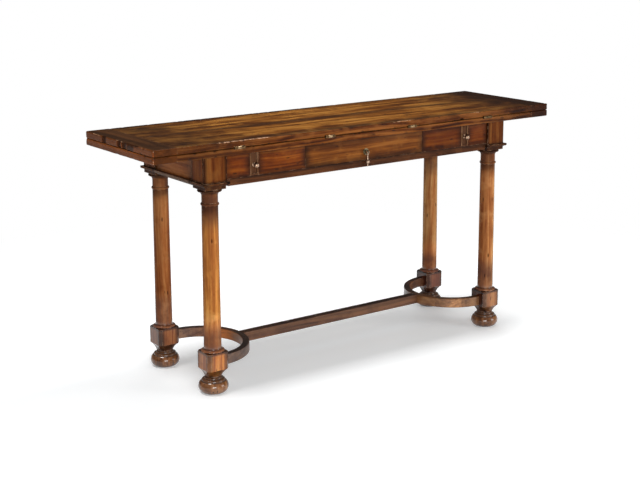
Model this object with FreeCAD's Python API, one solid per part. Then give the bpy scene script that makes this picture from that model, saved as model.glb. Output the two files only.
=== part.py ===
import FreeCAD, Part
import math
import os

# Flip-top console table: a folded double top on a columned frame with a drawer and two pull-out lopers.
# Millimetres. +Z is up and the floor is z = 0. X runs along the length and the drawer side faces -Y.

# Overall sizes
table_height = 762.0
top_length = 1524.0
top_depth = 420.0
end_overhang = 178.0
side_overhang = 25.6

# Clearances
glue_fit = 0.1        # tenons, tongues and grooves
pin_fit = 0.05        # round pins, dowels and screws in their holes
slide_fit = 0.3       # wooden parts that slide past one another
drawer_reveal = 0.8   # visible gap round the drawer front

# The two leaves of the top
leaf_thickness = 20.7
leaf_gap = 0.6
leaf_edge_round = 3.0
board_seam_vee = 0.7
cleat_end_width = 76.0
tongue_length = 22.0
tongue_thickness = 7.0
tongue_setback = 18.0

# Butt hinges between the leaves
hinge_count = 4
hinge_pitch = 321.0
hinge_length = 36.0
hinge_plate_depth = 26.0
hinge_plate_thickness = 2.0
hinge_barrel_radius = 4.5
hinge_pin_radius = 2.0
hinge_middle_knuckle = 13.0
hinge_knuckle_gap = 0.2
hinge_pin_offset = 0.3
hinge_screw_pitch = 20.0
hinge_screw_setback = 10.0
hinge_screw_length = 14.0
hinge_screw_radius = 1.5
hinge_screw_head_radius = 3.0

# Legs, from the floor up
foot_height = 52.0
foot_radius = 45.5
foot_contact_radius = 30.0
foot_belly_height = 21.0
foot_shoulder_radius = 38.0
foot_neck_height = 15.5
foot_bead_height = 8.0
foot_bead_bulge = 1.8
foot_ring_radius = 27.5
foot_ring_bulge = 1.2
foot_neck_radius = 22.5
foot_quirk = 2.4
foot_dowel_radius = 11.0
foot_dowel_length = 25.0
block_width = 72.0
block_foot_width = 44.0
block_taper = 23.0
block_taper_hollow = 1.8
block_straight = 46.0
block_shoulder = 7.0
block_shoulder_bulge = 2.6
block_chamfer = 8.5
base_radius = 34.0
base_ring_bulge = 1.6
base_ring = 5.0
base_fillet = 2.5
base_flare = 8.0
base_flare_hollow = 2.0
shaft_bottom_radius = 26.2
shaft_top_radius = 24.4
astragal_bulge = 3.1
astragal_height = 8.0
neck_radius = 24.2
neck_height = 19.0
cavetto_height = 15.0
cavetto_hollow = 2.8
capital_ring = 5.0
capital_ring_radius = 35.0
capital_ring_lip = 2.5
capital_ring_bulge = 1.2
capital_fillet = 3.0
capital_fillet_radius = 32.0
step_inset = 2.0
step_height = 7.0
cove_height = 5.0
abacus_round = 4.0
abacus_projection = 7.0
abacus_thickness = 8.0
post_width = 74.0
capital_lap = 14.4       # height of the capital's top above the lower edge of the apron
corner_bead_round = 5.0
quirk_setback = 8.0
quirk_width = 4.0
quirk_depth = 3.2

# Rails of the apron
apron_height = 94.4
apron_recess = 5.0
rail_thickness = 20.0
front_rail_height = 21.0
rail_tenon_length = 25.0
rail_tenon_thickness = 8.0
rail_tenon_shoulder = 10.0
front_tenon_height = 10.0
top_block_length = 40.0
top_block_size = 22.0
top_block_offset = 58.0
top_screw_radius = 2.2
top_screw_head_radius = 4.2
top_screw_bite = 13.0

# Lopers that carry the opened leaf
loper_inset = 98.0
loper_width = 29.0
loper_face_thickness = 8.0
loper_back_space = 12.0
loper_bead_width = 5.5
loper_field_depth = 2.2
loper_bead_round = 1.0
housing_wall = 14.0
housing_floor = 12.0
stop_peg_radius = 4.0
stop_peg_setback = 22.0
peg_slot_setback = 30.5
knob_rise = 32.4
knob_radius = 8.5
knob_collar_radius = 6.0
knob_collar = 2.0
knob_neck_radius = 3.4
knob_neck = 3.0
knob_shank_radius = 2.5
knob_shank = 22.0

# Drawer
drawer_opening = 458.0
drawer_back_space = 40.0
drawer_side_thickness = 12.0
drawer_side_lift = 3.0
drawer_side_headroom = 5.0
drawer_bottom_thickness = 6.0
drawer_bottom_lift = 6.0
drawer_groove = 5.0
drawer_back_drop = 4.0
dovetail_count = 3
dovetail_length = 14.0
dovetail_slope = 1.9
dovetail_share = 0.62
runner_ledge = 20.0
runner_thickness = 12.0
runner_guide = 14.0
drawer_stop_height = 14.0

# Drop pull on the drawer
pull_rise = 26.4
pull_plate_radius = 10.5
pull_plate_thickness = 3.0
pull_plate_edge = 1.0
pull_plate_hollow = 0.5
pull_boss_radius = 5.0
pull_standoff = 10.0
pull_post_radius = 2.0
pull_eye_radius = 3.4
pull_eye_width = 5.0
pull_pin_radius = 1.2
pull_nut_width = 9.0
pull_nut_thickness = 3.5
fork_gap = 0.2
fork_ear = 1.5
drop_stem_radius = 2.0
drop_ball_radius = 6.6
drop_waist_radius = 1.5
drop_ball_fall = 30.0
drop_tip_fall = 45.0
drop_tip_radius = 1.2
drop_bud_height = 4.0
drop_bud_bulge = 0.8

# Stretchers
stretcher_height = 32.0
stretcher_lift = 3.0
stretcher_round = 3.0
arc_width = 21.0
long_stretcher_width = 28.0
stretcher_tenon_length = 15.0
stretcher_tenon_width = 10.0
stretcher_tenon_height = 16.0

# Levels and planes that follow from the sizes above
half_length = top_length / 2
half_depth = top_depth / 2
underside = table_height - 2 * leaf_thickness - leaf_gap
lower_leaf_top = underside + leaf_thickness
upper_leaf_bottom = lower_leaf_top + leaf_gap
pin_height = lower_leaf_top + leaf_gap / 2
pin_front = -half_depth - hinge_pin_offset
barrel_proud = hinge_barrel_radius + hinge_pin_offset
leg_x = half_length - end_overhang - post_width / 2
leg_y = half_depth - side_overhang - post_width / 2
post_inner_x = leg_x - post_width / 2
post_inner_y = leg_y - post_width / 2
apron_face = leg_y + post_width / 2 - apron_recess
apron_inner = apron_face - rail_thickness
end_face = leg_x + post_width / 2 - apron_recess
end_inner = end_face - rail_thickness
apron_bottom = underside - apron_height
rail_top = apron_bottom + front_rail_height
loper_x = post_inner_x - loper_inset
knob_height = rail_top + knob_rise
pull_height = rail_top + pull_rise

foot_shoulder_height = foot_height - foot_neck_height
block_low = foot_height + block_taper
block_high = block_low + block_straight
block_top = block_high + block_shoulder
ring_top = block_top + base_ring
flare_top = ring_top + base_flare
post_bottom = apron_bottom + capital_lap
abacus_width = post_width + 2 * abacus_projection
step_half = post_width / 2 - step_inset
abacus_bottom = post_bottom - abacus_thickness
step_top = abacus_bottom - cove_height
step_bottom = step_top - step_height
capital_ring_top = step_bottom - capital_fillet
capital_ring_bottom = capital_ring_top - capital_ring
neck_top = capital_ring_bottom - cavetto_height
astragal_top = neck_top - neck_height
astragal_bottom = astragal_top - astragal_height
stretcher_bottom = block_low + stretcher_lift
stretcher_mid = stretcher_bottom + stretcher_height / 2
block_inner_x = leg_x - block_width / 2

X_AXIS = FreeCAD.Vector(1, 0, 0)
Y_AXIS = FreeCAD.Vector(0, 1, 0)
Z_AXIS = FreeCAD.Vector(0, 0, 1)
CENTRE = FreeCAD.Vector(0, 0, 0)
QUARTER_SAG = 1 - math.sqrt(0.5)   # rise of a quarter circle over its chord, for a radius of 1

pieces = {}


def vec(x, y, z):
    return FreeCAD.Vector(x, y, z)


def box(x0, x1, y0, y1, z0, z1):
    return Part.makeBox(x1 - x0, y1 - y0, z1 - z0, vec(x0, y0, z0))


def grown(shape_box, fit):
    """A box larger than the bounds of shape_box by fit on every side, to cut its seat."""
    b = shape_box.BoundBox
    return box(b.XMin - fit, b.XMax + fit, b.YMin - fit, b.YMax + fit, b.ZMin - fit, b.ZMax + fit)


def moved(shape, x, y, z):
    copy = shape.copy()
    copy.translate(vec(x, y, z))
    return copy


def turned_about(shape, axis, angle):
    copy = shape.copy()
    copy.rotate(CENTRE, axis, angle)
    return copy


def flipped(shape, normal):
    return shape.mirror(CENTRE, normal)


def outline(points):
    """Face in the XZ plane. An entry is a point, or a pair: a point on an arc and the arc's end."""
    edges = []
    start = vec(points[0][0], 0, points[0][1])
    here = start
    for entry in points[1:]:
        if isinstance(entry[0], tuple):
            through = vec(entry[0][0], 0, entry[0][1])
            there = vec(entry[1][0], 0, entry[1][1])
            edges.append(Part.Arc(here, through, there).toShape())
        else:
            there = vec(entry[0], 0, entry[1])
            edges.append(Part.LineSegment(here, there).toShape())
        here = there
    if not here.isEqual(start, 1e-6):
        edges.append(Part.LineSegment(here, start).toShape())
    return Part.Face(Part.Wire(edges))


def curve(start, end, hollow):
    """Arc entry for an outline that runs upwards: hollow is its depth, or less than 0 where it swells."""
    across = end[0] - start[0]
    rise = end[1] - start[1]
    chord = math.hypot(across, rise)
    middle_radius = (start[0] + end[0]) / 2 - hollow * rise / chord
    middle_height = (start[1] + end[1]) / 2 + hollow * across / chord
    return ((middle_radius, middle_height), end)


def turned(points):
    """Solid of revolution about Z from an outline of radius and height."""
    return outline(points).revolve(CENTRE, Z_AXIS, 360)


def between_two_faces(points, angle):
    """Bar whose section is the outline on both sides of the axis, turned about Z."""
    reach = block_width + abacus_width
    half = moved(outline(points).extrude(vec(0, 2 * reach, 0)), 0, -reach, 0)
    bar = half.fuse(flipped(half, X_AXIS)).removeSplitter()
    return turned_about(bar, Z_AXIS, angle)


def squared(points):
    """Square-sectioned solid whose half width follows the outline, with mitred corners."""
    return between_two_faces(points, 0).common(between_two_faces(points, 90))


def chamfered_diagonal(points, chamfer):
    """The same outline across the corners, set in by the chamfer."""
    def across(point):
        return ((2 * point[0] - chamfer) / math.sqrt(2), point[1])
    result = [(0, points[0][1])]
    for entry in points[1:-1]:
        if isinstance(entry[0], tuple):
            result.append((across(entry[0]), across(entry[1])))
        else:
            result.append(across(entry))
    result.append((0, points[-1][1]))
    return result


def capital_edge():
    """Cove and rounded edge of the square capital, from the step up, as half width and height."""
    step = (step_half, step_top)
    cove = (abacus_width / 2 - abacus_round, abacus_bottom)
    edge = (abacus_width / 2, abacus_bottom + abacus_round)
    return [
        step,
        curve(step, cove, cove_height * QUARTER_SAG),
        curve(cove, edge, -abacus_round * QUARTER_SAG),
        (edge[0], post_bottom),
    ]


def leg_column():
    """Turned part of the leg, from the top of the block to the capital."""
    ring_foot = (base_radius, block_top)
    ring_head = (base_radius, ring_top)
    flare_foot = (base_radius - base_fillet, ring_top)
    flare_head = (shaft_bottom_radius, flare_top)
    astragal_foot = (shaft_top_radius, astragal_bottom)
    astragal_head = (neck_radius, astragal_top)
    neck_head = (neck_radius, neck_top)
    cavetto_head = (capital_ring_radius - capital_ring_lip, capital_ring_bottom)
    capital_ring_foot = (capital_ring_radius, capital_ring_bottom)
    capital_ring_head = (capital_ring_radius, capital_ring_top)
    return turned([
        (0, block_top),
        ring_foot,
        curve(ring_foot, ring_head, -base_ring_bulge),
        flare_foot,
        curve(flare_foot, flare_head, base_flare_hollow),
        astragal_foot,
        curve(astragal_foot, astragal_head, -astragal_bulge),
        neck_head,
        curve(neck_head, cavetto_head, cavetto_hollow),
        capital_ring_foot,
        curve(capital_ring_foot, capital_ring_head, -capital_ring_bulge),
        (capital_fillet_radius, capital_ring_top),
        (capital_fillet_radius, step_bottom),
        (0, step_bottom),
    ])


def leg_block():
    """Square block above the foot: tapered below, chamfered at the corners and rounded off above."""
    taper_foot = (block_foot_width / 2, foot_height)
    taper_head = (block_width / 2, block_low)
    profile = [(0, foot_height), taper_foot, curve(taper_foot, taper_head, block_taper_hollow),
               (block_width / 2, block_top), (0, block_top)]
    corners = chamfered_diagonal(profile, block_chamfer)
    shoulder_foot = (block_width / math.sqrt(2), block_high)
    shoulder_head = (base_radius + base_ring_bulge, block_top)
    rounding = turned([
        (0, foot_height),
        (shoulder_foot[0], foot_height),
        shoulder_foot,
        curve(shoulder_foot, shoulder_head, -block_shoulder_bulge),
        (0, block_top),
    ])
    block = squared(profile)
    block = block.common(between_two_faces(corners, 45))
    block = block.common(between_two_faces(corners, 135))
    return block.common(rounding)


def leg_post():
    """Square post at the apron, with a quirked bead on its outer front corner (-X, -Y)."""
    half = post_width / 2
    post = box(-half, half, -half, half, post_bottom, underside)
    for edge in post.Edges:
        middle = edge.CenterOfMass
        if abs(middle.x + half) < 1e-6 and abs(middle.y + half) < 1e-6:
            outer_corner = edge
    post = post.makeFillet(corner_bead_round, [outer_corner])
    quirk = box(-half, -half + quirk_depth, -half + quirk_setback, -half + quirk_setback + quirk_width,
                post_bottom, underside)
    return post.cut(quirk)


def leg_blank():
    """Front left leg about its own axis, without its mortises."""
    capital = squared([(0, step_bottom), (step_half, step_bottom)] + capital_edge() + [(0, post_bottom)])
    blank = leg_block().fuse([leg_column(), capital, leg_post()])
    return blank.removeSplitter()


def belly_arc(end_radius, end_height, belly_radius, belly_height):
    """Point halfway along the arc that ends upright at the belly of a turned bulge."""
    inset = belly_radius - end_radius
    rise = end_height - belly_height
    radius = (inset ** 2 + rise ** 2) / (2 * inset)
    half_angle = math.atan2(rise, radius - inset) / 2
    return (belly_radius - radius + radius * math.cos(half_angle),
            belly_height + radius * math.sin(half_angle))


def bun_foot():
    """Flattened ball foot with a bead and a neck ring above it and a dowel, about its own axis."""
    belly_low = belly_arc(foot_contact_radius, 0, foot_radius, foot_belly_height)
    belly_high = belly_arc(foot_shoulder_radius, foot_shoulder_height, foot_radius, foot_belly_height)
    bead_foot = (foot_shoulder_radius - foot_quirk, foot_shoulder_height + foot_quirk / 2)
    bead_head = (foot_ring_radius + foot_quirk, foot_shoulder_height + foot_bead_height)
    ring_foot = (foot_ring_radius, bead_head[1] + foot_quirk / 2)
    ring_head = (foot_neck_radius + foot_quirk / 2, foot_height - foot_quirk)
    return turned([
        (0, 0),
        (foot_contact_radius, 0),
        (belly_low, (foot_radius, foot_belly_height)),
        (belly_high, (foot_shoulder_radius, foot_shoulder_height)),
        (bead_foot[0], foot_shoulder_height),
        bead_foot,
        curve(bead_foot, bead_head, -foot_bead_bulge),
        (foot_ring_radius, bead_head[1]),
        ring_foot,
        curve(ring_foot, ring_head, -foot_ring_bulge),
        (foot_neck_radius, ring_head[1]),
        (foot_neck_radius, foot_height),
        (foot_dowel_radius, foot_height),
        (foot_dowel_radius, foot_height + foot_dowel_length),
        (0, foot_height + foot_dowel_length),
    ])


def rounded_bar(width, centre, bottom, height, corner):
    """Face in the XZ plane: a rectangle with rounded corners, for the stretchers."""
    x0 = centre - width / 2
    x1 = centre + width / 2
    z0 = bottom
    z1 = bottom + height
    swell = -corner * QUARTER_SAG
    return outline([
        (x0 + corner, z0),
        (x1 - corner, z0),
        curve((x1 - corner, z0), (x1, z0 + corner), swell),
        (x1, z1 - corner),
        curve((x1, z1 - corner), (x1 - corner, z1), swell),
        (x0 + corner, z1),
        curve((x0 + corner, z1), (x0, z1 - corner), swell),
        (x0, z0 + corner),
        curve((x0, z0 + corner), (x0 + corner, z0), swell),
    ])


def countersunk_screw(head_radius, shank_radius, length):
    """Screw with its flat head face at z = 0 and its shank pointing down."""
    cone = head_radius - shank_radius
    return turned([(0, 0), (head_radius, 0), (shank_radius, -cone), (shank_radius, shank_radius - length),
                   (0, -length)])


def screw_hole(head_radius, shank_radius, length):
    return countersunk_screw(head_radius + pin_fit, shank_radius + pin_fit, length + pin_fit)


# Stretchers: one semicircle at each end, tenoned into the two leg blocks, and a long bar between them

arc_radius = leg_y
tenon_z0 = stretcher_mid - stretcher_tenon_height / 2
tenon_z1 = stretcher_mid + stretcher_tenon_height / 2
half_tenon = stretcher_tenon_width / 2

arc_section = rounded_bar(arc_width, arc_radius, stretcher_bottom, stretcher_height, stretcher_round)
arc = turned_about(arc_section, Z_AXIS, -90).revolve(CENTRE, Z_AXIS, 180)
arc_tenons = []
for side in (-1, 1):
    tenon_y = side * arc_radius
    arc_tenons.append(box(-stretcher_tenon_length, 0, tenon_y - half_tenon, tenon_y + half_tenon,
                          tenon_z0, tenon_z1))
arc = arc.fuse(arc_tenons).removeSplitter()
arc_outer = arc_radius + arc_width / 2
long_tenon = box(arc_outer - stretcher_tenon_length, arc_outer, -half_tenon, half_tenon, tenon_z0, tenon_z1)
arc = arc.cut(grown(long_tenon, glue_fit))

pieces["left_arc_stretcher"] = moved(arc, -block_inner_x, 0, 0)
pieces["right_arc_stretcher"] = flipped(pieces["left_arc_stretcher"], X_AXIS)

arc_apex = block_inner_x - arc_outer
long_section = rounded_bar(long_stretcher_width, 0, stretcher_bottom, stretcher_height, stretcher_round)
long_bar = turned_about(long_section, Z_AXIS, 90).extrude(vec(2 * block_inner_x, 0, 0))
long_bar = moved(long_bar, -block_inner_x, 0, 0)
long_stretcher = long_bar
for side in (-1, 1):
    cope = Part.makeCylinder(arc_outer + glue_fit, table_height, vec(side * block_inner_x, 0, 0))
    tenon = box(arc_apex - glue_fit, arc_apex + stretcher_tenon_length, -half_tenon, half_tenon,
                tenon_z0, tenon_z1)
    if side < 0:
        tenon = flipped(tenon, X_AXIS)
    long_stretcher = long_stretcher.cut(cope).fuse(tenon)
pieces["long_stretcher"] = long_stretcher.removeSplitter()

# Apron rails, tenoned into the posts and notched round the square capitals

tenon_bottom = post_bottom + rail_tenon_shoulder
tenon_top = underside - rail_tenon_shoulder
half_rail_tenon = rail_tenon_thickness / 2
end_mid = end_face - rail_thickness / 2
apron_mid = apron_face - rail_thickness / 2

capital_notches = []
for x in (-leg_x, leg_x):
    for y in (-leg_y, leg_y):
        reach = abacus_width / 2 + glue_fit
        capital_notches.append(box(x - reach, x + reach, y - reach, y + reach,
                                   apron_bottom - glue_fit, post_bottom + glue_fit))

end_rail = box(-end_face, -end_inner, -post_inner_y, post_inner_y, apron_bottom, underside)
end_rail = end_rail.cut(capital_notches)
end_tenons = []
for side in (-1, 1):
    tenon = box(-end_mid - half_rail_tenon, -end_mid + half_rail_tenon,
                post_inner_y, post_inner_y + rail_tenon_length, tenon_bottom, tenon_top)
    if side < 0:
        tenon = flipped(tenon, Y_AXIS)
    end_tenons.append(tenon)
pieces["left_end_rail"] = end_rail.fuse(end_tenons).removeSplitter()
pieces["right_end_rail"] = flipped(pieces["left_end_rail"], X_AXIS)

back_rail = box(-post_inner_x, post_inner_x, apron_inner, apron_face, apron_bottom, underside)
back_rail = back_rail.cut(capital_notches)
back_tenon = box(-post_inner_x - rail_tenon_length, -post_inner_x,
                 apron_mid - half_rail_tenon, apron_mid + half_rail_tenon, tenon_bottom, tenon_top)
pieces["back_rail"] = back_rail.fuse([back_tenon, flipped(back_tenon, X_AXIS)]).removeSplitter()

front_rail = box(-post_inner_x, post_inner_x, -apron_face, -apron_inner, apron_bottom, rail_top)
front_rail = front_rail.cut(capital_notches)
front_tenon_top = rail_top - glue_fit
front_tenon = box(-post_inner_x - rail_tenon_length, -leg_x + abacus_width / 2 + glue_fit,
                  -apron_mid - half_rail_tenon, -apron_mid + half_rail_tenon,
                  front_tenon_top - front_tenon_height, front_tenon_top)
pieces["front_bottom_rail"] = front_rail.fuse([front_tenon, flipped(front_tenon, X_AXIS)]).removeSplitter()

# Legs and feet

leg = leg_blank()
dowel_hole = Part.makeCylinder(foot_dowel_radius + pin_fit, foot_dowel_length + glue_fit,
                               vec(0, 0, foot_height))
leg = leg.cut(dowel_hole)
foot = bun_foot()

for end_name, end_side in (("left", -1), ("right", 1)):
    for face_name, face_side in (("front", -1), ("back", 1)):
        standing = leg
        if end_side > 0:
            standing = flipped(standing, X_AXIS)
        if face_side > 0:
            standing = flipped(standing, Y_AXIS)
        standing = moved(standing, end_side * leg_x, face_side * leg_y, 0)
        corner_tenons = [end_tenons[0], arc_tenons[0]]
        corner_tenons[1] = moved(corner_tenons[1], -block_inner_x, 0, 0)
        if face_side > 0:
            corner_tenons = [flipped(tenon, Y_AXIS) for tenon in corner_tenons]
            corner_tenons.append(back_tenon)
        else:
            corner_tenons.append(front_tenon)
        if end_side > 0:
            corner_tenons = [flipped(tenon, X_AXIS) for tenon in corner_tenons]
        mortises = [grown(tenon, glue_fit) for tenon in corner_tenons]
        pieces[f"{face_name}_{end_name}_leg"] = standing.cut(mortises)
        pieces[f"{face_name}_{end_name}_foot"] = moved(foot, end_side * leg_x, face_side * leg_y, 0)

# Moulding along each end rail, in line with the square capitals of the two legs

moulding_length = 2 * (leg_y - abacus_width / 2)
moulding_back = end_face - leg_x
moulding_outline = [(moulding_back, step_top)] + capital_edge() + [(moulding_back, post_bottom)]
moulding = outline(moulding_outline).extrude(vec(0, moulding_length, 0))
moulding = moved(moulding, leg_x, -moulding_length / 2, 0)
pieces["right_end_moulding"] = moulding
pieces["left_end_moulding"] = flipped(moulding, X_AXIS)

# Housings that guide the lopers, and the fixed panels of the front apron beside them

loper_gap = loper_width / 2 + slide_fit
housing_outer = loper_gap + housing_wall
housing_bottom = rail_top - housing_floor
loper_back = apron_inner - loper_back_space
peg_y = loper_back - stop_peg_setback
peg_height = (rail_top + underside) / 2
peg_half_length = housing_outer - slide_fit
slot_half = stop_peg_radius + slide_fit

housing = box(-housing_outer, housing_outer, -apron_inner, apron_inner, housing_bottom, underside)
housing = housing.cut(box(-loper_gap, loper_gap, -apron_inner, apron_inner, rail_top, underside))
peg_slot = box(-housing_outer, housing_outer, -apron_inner + peg_slot_setback, peg_y + slot_half,
               peg_height - slot_half, peg_height + slot_half)
housing = housing.cut(peg_slot)
pieces["left_loper_housing"] = moved(housing, -loper_x, 0, 0)
pieces["right_loper_housing"] = moved(housing, loper_x, 0, 0)

opening_half = drawer_opening / 2
outer_panel = box(loper_x + loper_gap, post_inner_x, -apron_face, -apron_inner, rail_top, underside)
inner_panel = box(opening_half, loper_x - loper_gap, -apron_face, -apron_inner, rail_top, underside)
pieces["right_outer_panel"] = outer_panel
pieces["right_inner_panel"] = inner_panel
pieces["left_outer_panel"] = flipped(outer_panel, X_AXIS)
pieces["left_inner_panel"] = flipped(inner_panel, X_AXIS)

# Lopers: a bar, a beaded face, a turned knob and a stop peg that runs in the slots of the housing

loper_bottom = rail_top + slide_fit
loper_top = underside - slide_fit
half_loper = loper_width / 2
face_back = -apron_face + loper_face_thickness
field_y = -apron_face + loper_field_depth

knob_ball_mid = knob_collar + knob_neck + knob_radius
knob = turned([
    (0, -knob_shank),
    (knob_shank_radius, -knob_shank),
    (knob_shank_radius, 0),
    (knob_collar_radius, 0),
    (knob_collar_radius, knob_collar / 2),
    (knob_neck_radius, knob_collar),
    (knob_neck_radius, knob_ball_mid - math.sqrt(knob_radius ** 2 - knob_neck_radius ** 2)),
    ((knob_radius, knob_ball_mid), (0, knob_ball_mid + knob_radius)),
])
knob = moved(turned_about(knob, X_AXIS, 90), 0, field_y, knob_height)
knob_hole = Part.makeCylinder(knob_shank_radius + pin_fit, knob_shank + pin_fit,
                              vec(0, field_y, knob_height), Y_AXIS)

loper_face = box(-half_loper, half_loper, -apron_face, face_back, loper_bottom, loper_top)
half_field = half_loper - loper_bead_width
field_bottom = loper_bottom + loper_bead_width
field_top = loper_top - loper_bead_width
field = box(-half_field, half_field, -apron_face, field_y, field_bottom, field_top)
loper_face = loper_face.cut(field)
front_edges = [e for e in loper_face.Edges if abs(e.BoundBox.YMax + apron_face) < 1e-6]
loper_face = loper_face.makeFillet(loper_bead_round, front_edges).cut(knob_hole)

stop_peg = Part.makeCylinder(stop_peg_radius, 2 * peg_half_length, vec(-peg_half_length, peg_y, peg_height),
                             X_AXIS)
peg_hole = Part.makeCylinder(stop_peg_radius + pin_fit, loper_width, vec(-half_loper, peg_y, peg_height),
                             X_AXIS)
loper_bar = box(-half_loper, half_loper, face_back, loper_back, loper_bottom, loper_top)
loper_bar = loper_bar.cut([knob_hole, peg_hole])

for name, x in (("left", -loper_x), ("right", loper_x)):
    pieces[f"{name}_loper_bar"] = moved(loper_bar, x, 0, 0)
    pieces[f"{name}_loper_face"] = moved(loper_face, x, 0, 0)
    pieces[f"{name}_loper_knob"] = moved(knob, x, 0, 0)
    pieces[f"{name}_loper_stop_peg"] = moved(stop_peg, x, 0, 0)

# Drawer: front with half-blind dovetails, two sides, back and a bottom panel held in grooves

front_half = opening_half - drawer_reveal
front_bottom = rail_top + drawer_reveal
front_top = underside - drawer_reveal
side_bottom = rail_top + drawer_side_lift
side_top = underside - drawer_side_headroom
drawer_back = apron_inner - drawer_back_space
side_inner = front_half - drawer_side_thickness
bottom_z0 = side_bottom + drawer_bottom_lift
bottom_z1 = bottom_z0 + drawer_bottom_thickness
groove_y = -apron_inner - drawer_groove


def dovetails(fit):
    """Tails of the right drawer side, as solids that enter the back of the drawer front."""
    pitch = (side_top - side_bottom) / dovetail_count
    solids = []
    for i in range(dovetail_count):
        mid = side_bottom + (i + 0.5) * pitch
        root = pitch * dovetail_share / 2 + fit
        tip = root + dovetail_slope
        tail_end = -apron_inner - dovetail_length - fit
        tail_x = side_inner - fit
        corners = [vec(tail_x, -apron_inner, mid - root), vec(tail_x, tail_end, mid - tip),
                   vec(tail_x, tail_end, mid + tip), vec(tail_x, -apron_inner, mid + root)]
        face = Part.Face(Part.makePolygon(corners + corners[:1]))
        solids.append(face.extrude(vec(drawer_side_thickness + fit, 0, 0)))
    return solids


bottom_reach = side_inner + drawer_groove
drawer_bottom = box(-bottom_reach, bottom_reach, groove_y, drawer_back, bottom_z0, bottom_z1)
bottom_groove = grown(drawer_bottom, glue_fit)
side_panel = box(side_inner, front_half, -apron_inner, drawer_back, side_bottom, side_top)
side_panel = side_panel.fuse(dovetails(0)).removeSplitter().cut(bottom_groove)
pieces["drawer_right_side"] = side_panel
pieces["drawer_left_side"] = flipped(side_panel, X_AXIS)
pieces["drawer_bottom"] = drawer_bottom
pieces["drawer_back"] = box(-side_inner, side_inner, drawer_back - drawer_side_thickness, drawer_back,
                            bottom_z1, side_top - drawer_back_drop)

pull_hole = Part.makeCylinder(pull_post_radius + pin_fit, rail_thickness, vec(0, -apron_face, pull_height),
                              Y_AXIS)
drawer_front = box(-front_half, front_half, -apron_face, -apron_inner, front_bottom, front_top)
tail_sockets = dovetails(glue_fit)
drawer_front = drawer_front.cut(tail_sockets + [flipped(socket, X_AXIS) for socket in tail_sockets])
pieces["drawer_front"] = drawer_front.cut([bottom_groove, pull_hole])

# Runners: a ledge under each drawer side, a guide beside it and a stop behind it

runner_bottom = side_bottom - slide_fit - runner_thickness
runner_top = side_bottom - slide_fit
runner = box(opening_half - runner_ledge, opening_half + runner_guide, -apron_inner, apron_inner,
             runner_bottom, runner_top)
guide = box(opening_half, opening_half + runner_guide, -apron_inner, apron_inner, runner_top, side_top)
stop_block = box(opening_half - runner_ledge, opening_half, drawer_back + slide_fit, apron_inner,
                 runner_top, runner_top + drawer_stop_height)
runner = runner.fuse([guide, stop_block]).removeSplitter()
pieces["right_drawer_runner"] = runner
pieces["left_drawer_runner"] = flipped(runner, X_AXIS)

# Drop pull: a rose plate, a bolt with an eye, and the drop that swings from the eye

pull_y = -apron_face - pull_standoff
plate_hole = pull_post_radius + pin_fit
plate_rim = (pull_plate_radius, pull_plate_edge)
plate_boss = (pull_boss_radius, pull_plate_thickness)
plate = turned([
    (plate_hole, 0),
    (pull_plate_radius, 0),
    plate_rim,
    curve(plate_rim, plate_boss, pull_plate_hollow),
    (plate_hole, pull_plate_thickness),
])
pieces["pull_plate"] = moved(turned_about(plate, X_AXIS, 90), 0, -apron_face, pull_height)

bolt_length = pull_standoff + rail_thickness + pull_nut_thickness
bolt = Part.makeCylinder(pull_post_radius, bolt_length, vec(0, pull_y, pull_height), Y_AXIS)
eye_start = vec(-pull_eye_width / 2, pull_y, pull_height)
eye = Part.makeCylinder(pull_eye_radius, pull_eye_width, eye_start, X_AXIS)
eye_hole = Part.makeCylinder(pull_pin_radius + pin_fit, pull_eye_width, eye_start, X_AXIS)
pieces["pull_bolt"] = bolt.fuse(eye).removeSplitter().cut(eye_hole)

nut_radius = pull_nut_width / math.sqrt(3)
nut_corners = []
for i in range(7):
    turn = math.radians(60 * i)
    nut_x = nut_radius * math.cos(turn)
    nut_z = pull_height + nut_radius * math.sin(turn)
    nut_corners.append(vec(nut_x, -apron_inner, nut_z))
nut = Part.Face(Part.makePolygon(nut_corners)).extrude(vec(0, pull_nut_thickness, 0))
pieces["pull_nut"] = nut.cut(Part.makeCylinder(pull_post_radius + pin_fit, pull_nut_thickness,
                                               vec(0, -apron_inner, pull_height), Y_AXIS))

fork_inner = pull_eye_width / 2 + fork_gap
fork_outer = fork_inner + fork_ear
fork_foot = -pull_eye_radius - fork_gap
ball_mid = -drop_ball_fall
tip = -drop_tip_fall
ball_reach = math.sqrt(drop_ball_radius ** 2 - drop_stem_radius ** 2)
bud_foot = (drop_tip_radius, tip)
bud_head = (drop_stem_radius, tip + drop_bud_height)
waist_height = (ball_mid + ball_reach + fork_foot) / 2
finial = turned([
    (0, tip),
    bud_foot,
    curve(bud_foot, bud_head, -drop_bud_bulge),
    (drop_stem_radius, ball_mid - ball_reach),
    ((drop_ball_radius, ball_mid), (drop_stem_radius, ball_mid + ball_reach)),
    (drop_waist_radius, waist_height),
    (fork_outer, fork_foot - fork_ear),
    (fork_outer, fork_foot),
    (0, fork_foot),
])
ears = []
for side in (-1, 1):
    ear_x = fork_inner if side > 0 else -fork_outer
    ear = Part.makeCylinder(pull_eye_radius, fork_ear, vec(ear_x, 0, 0), X_AXIS)
    strap = box(ear_x, ear_x + fork_ear, -pull_eye_radius / 2, pull_eye_radius / 2, fork_foot, 0)
    ears.append(ear.fuse(strap))
cross_pin = Part.makeCylinder(pull_pin_radius, 2 * fork_outer, vec(-fork_outer, 0, 0), X_AXIS)
drop = finial.fuse(ears + [cross_pin]).removeSplitter()
pieces["pull_drop"] = moved(drop, 0, pull_y, pull_height)

# Top: two equal leaves of two boards and two cleated ends each, hinged along the front edge

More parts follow.
